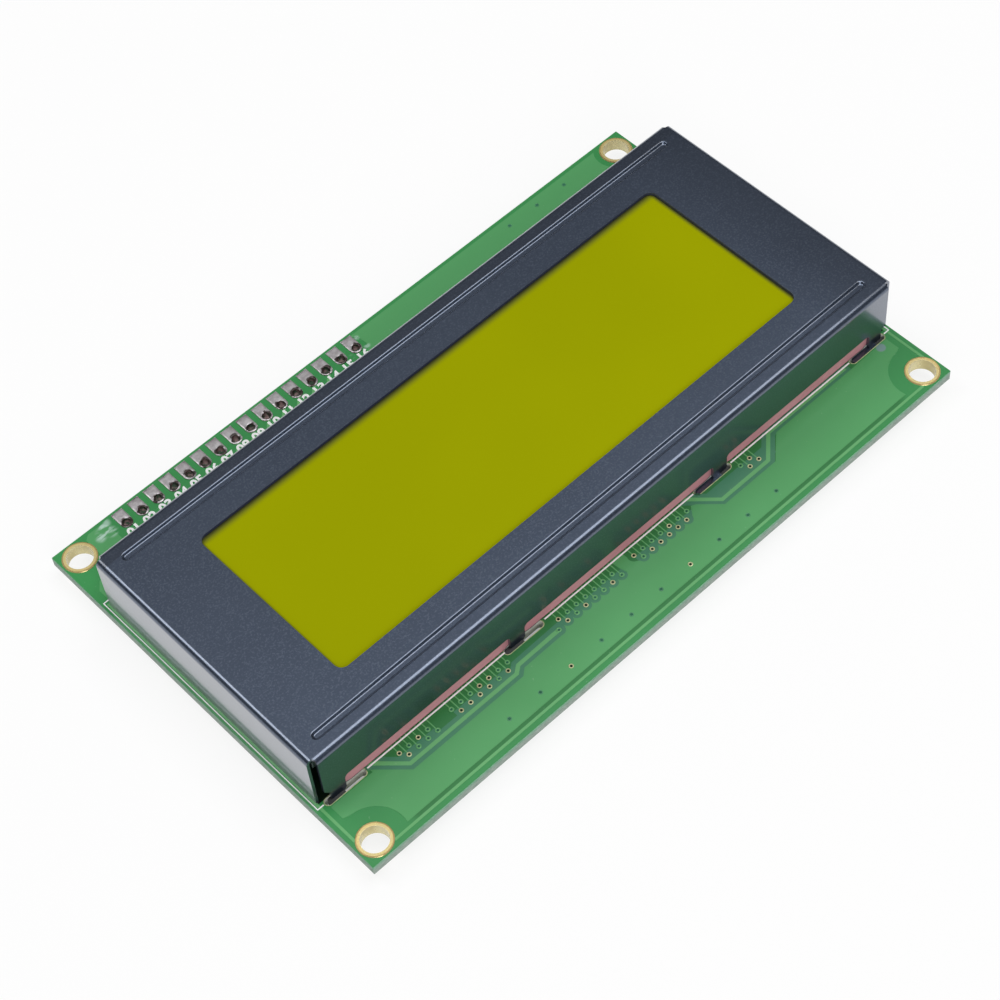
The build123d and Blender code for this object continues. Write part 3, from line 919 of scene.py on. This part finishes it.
# Light box.
# A small board with three rows of yellow-green diodes, a white moulded frame and a milky sheet
# that spreads their light under the cell. Two tinned leads pass through the circuit board.
def plain_material(name, colour, deep_colour, scale, roughness, depth=0.01):
    """A material whose colour wanders softly between two tones, with a fine bump."""
    material, tree = new_tree(name)
    place = object_place(tree)
    cloud = noise(tree, place, scale, 3.0).ease(0.3, 0.7)
    principled(
        tree,
        Base_Color=cloud.blend(colour, deep_colour),
        Roughness=cloud * 0.08 + roughness,
        Normal=bump(tree, noise(tree, place, scale * 6, 2.0), depth * mm, 0.5),
    )
    return material


for node, name, colour, deep_colour, scale, roughness in (
    ("light_frame", "white_moulding", rgb(0.8, 0.8, 0.78), rgb(0.72, 0.73, 0.71), 180.0, 0.45),
    ("light_diffuser", "milky_sheet", rgb(0.86, 0.86, 0.82), rgb(0.8, 0.8, 0.76), 90.0, 0.35),
    ("light_diodes", "diode_lens", rgb(0.72, 0.8, 0.3), rgb(0.6, 0.7, 0.22), 600.0, 0.3),
    ("light_board", "light_board", rgb(0.7, 0.72, 0.66), rgb(0.6, 0.62, 0.56), 200.0, 0.5),
):
    dress(node, plain_material(name, colour, deep_colour, scale, roughness))
for name in ("anode", "cathode"):
    dress(f"light_{name}_lead", tin_material)
    dress(f"light_{name}_solder", tin_material)


# Contact strips.
# Pink silicone with hair-thin conducting layers, squeezed between the board and the glass ledge.
# Between the tabs it swells out a little below the bezel's wall.
strip_tabs = ((-46.45, -44.15), (-18.15, -15.75), (16.35, 18.75), (44.75, 47.05))
swell = 0.16
swell_height = 2.2
swell_step = 0.5
tab_fade = 0.9
silicone_material, silicone_tree = new_tree("pink_silicone")
silicone_place = object_place(silicone_tree)
layers_inputs = {"Vector": silicone_place, "Scale": 2400.0, "Distortion": 0.4, "Detail": 1.0}
layers = Wire.node(silicone_tree, "ShaderNodeTexWave", {"bands_direction": "X"}, layers_inputs, "Fac")
silicone_cloud = noise(silicone_tree, silicone_place, 160.0, 3.0).ease(0.3, 0.7)
silicone_tone = silicone_cloud.blend(rgb(0.76, 0.35, 0.4), rgb(0.68, 0.29, 0.34))
# Painted shade: near black along the strip's foot, where it meets the board.
foot_shade = 0.08
foot_shade_end = 0.18
above_board = silicone_place.part("Z") - board_top
painted_foot_shade = above_board.ease(foot_shade * mm, foot_shade_end * mm, 1.0, 0.0)
silicone_tone = (layers * 0.12).blend(silicone_tone, rgb(0.45, 0.2, 0.23))
principled(
    silicone_tree,
    Base_Color=painted_foot_shade.blend(silicone_tone, rgb(0.02, 0.012, 0.012)),
    Roughness=0.6,
    Normal=bump(silicone_tree, layers, 0.01 * mm, 0.4),
)


def swell_at(x):
    """Share of the full swell at a place along the strip: none at a tab."""
    gap = min(max(low - x, x - high, 0.0) for low, high in strip_tabs)
    share = min(gap / tab_fade, 1.0)
    return share * share * (3 - 2 * share)


def swollen_strip(name, low, high, side):
    """The strip's box, with its outer side swollen outwards near the board."""
    outer, inner = (low.y, high.y) if side < 0 else (high.y, low.y)
    count = round((high.x - low.x) / mm / swell_step)
    bm = bmesh.new()
    loops = []
    for step in range(count + 1):
        x = low.x + (high.x - low.x) * step / count
        out = side * swell * mm * swell_at(x / mm)
        section = [(inner, low.z), (outer + 0.9 * out, low.z)]
        for share, part in ((0.25, 1.0), (0.55, 0.9), (0.85, 0.4), (1.0, 0.0)):
            section.append((outer + part * out, low.z + share * swell_height * mm))
        section += [(outer, high.z), (inner, high.z)]
        loops.append([bm.verts.new((x, y, z)) for y, z in section])
    for first, second in zip(loops, loops[1:]):
        for index in range(len(first)):
            following = (index + 1) % len(first)
            bm.faces.new((first[index], second[index], second[following], first[following]))
    bm.faces.new(loops[0])
    bm.faces.new(loops[-1])
    bmesh.ops.recalc_face_normals(bm, faces=bm.faces[:])
    mesh = bpy.data.meshes.new(name)
    bm.to_mesh(mesh)
    bm.free()
    return mesh


for side, word in ((-1, "lower"), (1, "upper")):
    strip_low, strip_high = (Vector(corner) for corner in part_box(f"contact_strip_{word}"))
    strip_mesh = swollen_strip(f"swollen_strip_{word}", strip_low, strip_high, side)
    strip = link_piece(f"swollen_strip_{word}", strip_mesh, silicone_material)
    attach(strip, "root")
    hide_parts(f"contact_strip_{word}")


# Liquid crystal cell.
# Two panes of float glass, ground along their edges and sealed face to face, with a polarising
# film stuck behind them. The front pane's ledges rest on the contact strips.
glass_dark = rgb(0.02, 0.035, 0.03)
glass_pale = rgb(0.03, 0.05, 0.04)
glass_material = plain_material("cell_glass", glass_dark, glass_pale, 500.0, 0.12)
film_pale = rgb(0.3, 0.32, 0.14)
film_dark = rgb(0.26, 0.28, 0.12)
rear_film_material = plain_material("rear_film", film_pale, film_dark, 120.0, 0.4)
dress("front_glass", glass_material)
dress("rear_glass", glass_material)
dress("rear_polariser", rear_film_material)


# Screen film.
# The front polariser: a satin film that looks yellow-green over the reflecting layers behind it
# and darkens where the bezel shades them.
film_material, film_tree = new_tree("screen_film")
film_place = object_place(film_tree)
window_left = -37.5
window_right = 38.7
window_low = -13.0
window_high = 13.0
across = film_place.part("X")
along = film_place.part("Y")
shade_right = across.ease((window_right - 0.7) * mm, (window_right + 0.1) * mm, 1.0, 0.0)
shade_left = across.ease((window_left - 0.2) * mm, (window_left + 0.5) * mm)
shade_high = along.ease((window_high - 1.3) * mm, (window_high + 0.15) * mm, 1.0, 0.0)
shade_low = along.ease((window_low - 0.3) * mm, window_low * mm)
lit = shade_right * shade_left * shade_high * shade_low
film_cloud = noise(film_tree, film_place, 26.0, 2.0).ease(0.3, 0.7)
film_tone = film_cloud.blend(rgb(0.31, 0.335, 0.0), rgb(0.335, 0.36, 0.0))
principled(
    film_tree,
    Base_Color=lit.blend(rgb(0.04, 0.044, 0.02), film_tone),
    Roughness=0.4,
    Specular_IOR_Level=0.02,
    Normal=bump(film_tree, noise(film_tree, film_place, 700.0, 2.0), 0.004 * mm, 0.4),
)
dress("front_polariser", film_material)


# Bezel.
# One blank of sheet steel, folded, pressed and lacquered black, with its eight tabs twisted
# under the board.
bezel_material, bezel_tree = new_tree("black_lacquer")
bezel_place = object_place(bezel_tree)
paint_grain = noise(bezel_tree, bezel_place, 4200.0, 2.0, 0.6)
paint_cloud = noise(bezel_tree, bezel_place, 45.0, 2.0).ease(0.3, 0.7)
paint_tone = paint_cloud.blend(rgb(0.059, 0.082, 0.131), rgb(0.068, 0.093, 0.145))
cut_margin = 0.3
window_middle_x = (window_left + window_right) / 2
window_half_x = (window_right - window_left) / 2
from_window_middle = (bezel_place.part("X") - window_middle_x * mm).math("ABSOLUTE")
cut_x = from_window_middle < (window_half_x + cut_margin) * mm
cut_y = bezel_place.part("Y").math("ABSOLUTE") < (window_high + cut_margin) * mm
at_cut = cut_x * cut_y * (facing_up(bezel_tree).math("ABSOLUTE") < 0.4)
# The sheet bows down a little outside the upper groove and past the window's right end.
margin_start = 17.8
margin_slope = 30000.0
end_start = 38.5
end_droop = 1500000.0
past_groove = (bezel_place.part("Y") - margin_start * mm).math("MAXIMUM", 0.0)
past_window = (bezel_place.part("X") - end_start * mm).math("MAXIMUM", 0.0)
margin_drop = past_groove * margin_slope + past_window * past_window * end_droop
paint_specked = paint_grain.ease(0.45, 0.75).blend(paint_tone, rgb(0.1, 0.13, 0.19))
principled(
    bezel_tree,
    Base_Color=at_cut.blend(paint_specked, rgb(0.02, 0.026, 0.1)),
    Metallic=at_cut.ease(0.0, 1.0, 0.85, 0.0),
    Roughness=paint_grain * 0.1 + 0.27,
    Coat_Weight=1.0,
    Coat_IOR=1.6,
    Coat_Roughness=0.13,
    Normal=bump(bezel_tree, paint_grain - margin_drop, 0.01 * mm, 0.35),
)
dress("bezel", bezel_material)


# Tab edges.
# Where each of the bezel's tabs turns in its slot, the sheet bulges and fills the slot's outer end
# just below the board's face: a small sloping block, painted near black as painted shade in the slot.
fold_high = 0.2
fold_low = 0.5
fold_depth = 1.2
fold_gap = 0.03
fold_width = 2 * (slot_half - fold_gap)
fold_inner_y = slot_middle_y - slot_half + fold_gap
upper_rim = (board_top - fold_high * mm, fold_low - fold_high)
lower_rim = (board_top - fold_depth * mm, 0.0)
slot_ends = (-47.05, -19.1, 19.1, 47.3)
fold_ends = (-44.6, -16.2, 16.8, 45.2)
tab_folds = bmesh.new()
for side in (-1, 1):
    for slot_end, fold_end in zip(slot_ends, fold_ends):
        lean = 1 if fold_end > slot_end else -1
        middle_x = slot_end + lean * slot_half
        outline = [(fold_end, 0.0), (fold_end, fold_width)]
        for x, y in arc(0.0, fold_width / 2, fold_width / 2, 90, 270, 8):
            outline.append((middle_x + lean * x, y))
        rims = []
        for level, slope in (upper_rim, lower_rim):
            rim = []
            for x, y in outline:
                place = (x * mm, side * (fold_inner_y + y) * mm, level - slope * y * mm)
                rim.append(tab_folds.verts.new(place))
            rims.append(rim)
        upper, lower = rims
        tab_folds.faces.new(upper)
        tab_folds.faces.new(lower)
        for index in range(len(outline)):
            following = (index + 1) % len(outline)
            tab_folds.faces.new((upper[index], upper[following], lower[following], lower[index]))
bmesh.ops.recalc_face_normals(tab_folds, faces=tab_folds.faces[:])
fold_mesh = bpy.data.meshes.new("tab_folds")
tab_folds.to_mesh(fold_mesh)
tab_folds.free()
# Painted shade: the block is painted near black for the shade inside the slot.
slot_shade_black = rgb(0.004, 0.006, 0.006)
slot_shade_grey = rgb(0.008, 0.011, 0.011)
slot_shade_paint = mask_material("slot_shade_lacquer", slot_shade_black, slot_shade_grey, 0.5)
tab_edges = link_piece("tab_edges", fold_mesh, slot_shade_paint)
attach(tab_edges, "root")


# Underside.
# Black epoxy drops, poured and cured over three bare chips, and small ceramic chips whose tinned
# ends are soldered across their pads.
epoxy_black = rgb(0.012, 0.012, 0.013)
epoxy_grey = rgb(0.02, 0.02, 0.021)
epoxy_material = plain_material("black_epoxy", epoxy_black, epoxy_grey, 240.0, 0.22, 0.02)
for name in ("controller_cap", "driver_cap_middle", "driver_cap_right"):
    dress(name, epoxy_material)
chip_row_y = 13.5
chip_half = 1.0
chip_end = 0.38


def chip_material(name, top_colour, top_deep_colour, side_colour):
    """A ceramic body with a coloured top and bright tinned ends."""
    material, tree = new_tree(name)
    place = object_place(tree)
    from_middle = (place.part("Y") - chip_row_y * mm).math("ABSOLUTE")
    at_end = from_middle.ease((chip_half - chip_end - 0.02) * mm, (chip_half - chip_end) * mm)
    facing_down = facing_up(tree).ease(-0.8, -0.4, 1.0, 0.0)
    speckle = noise(tree, place, 1500.0, 3.0).ease(0.3, 0.7)
    body = facing_down.blend(side_colour, speckle.blend(top_colour, top_deep_colour))
    principled(
        tree,
        Base_Color=at_end.blend(body, rgb(0.6, 0.58, 0.56)),
        Metallic=at_end * 0.85,
        Roughness=speckle * 0.1 + 0.32,
    )
    return material


glaze_black = rgb(0.015, 0.015, 0.017)
ceramic_white = rgb(0.75, 0.75, 0.72)
ceramic_tan = rgb(0.42, 0.29, 0.17)
ceramic_brown = rgb(0.36, 0.24, 0.14)
resistor_material = chip_material("resistor", glaze_black, glaze_black, ceramic_white)
capacitor_material = chip_material("capacitor", ceramic_tan, ceramic_brown, ceramic_brown)
for name in ("bias_resistors", "oscillator_resistor", "backlight_resistors"):
    dress(name, resistor_material)
dress("supply_capacitors", capacitor_material)
dress("chip_solder", tin_material)
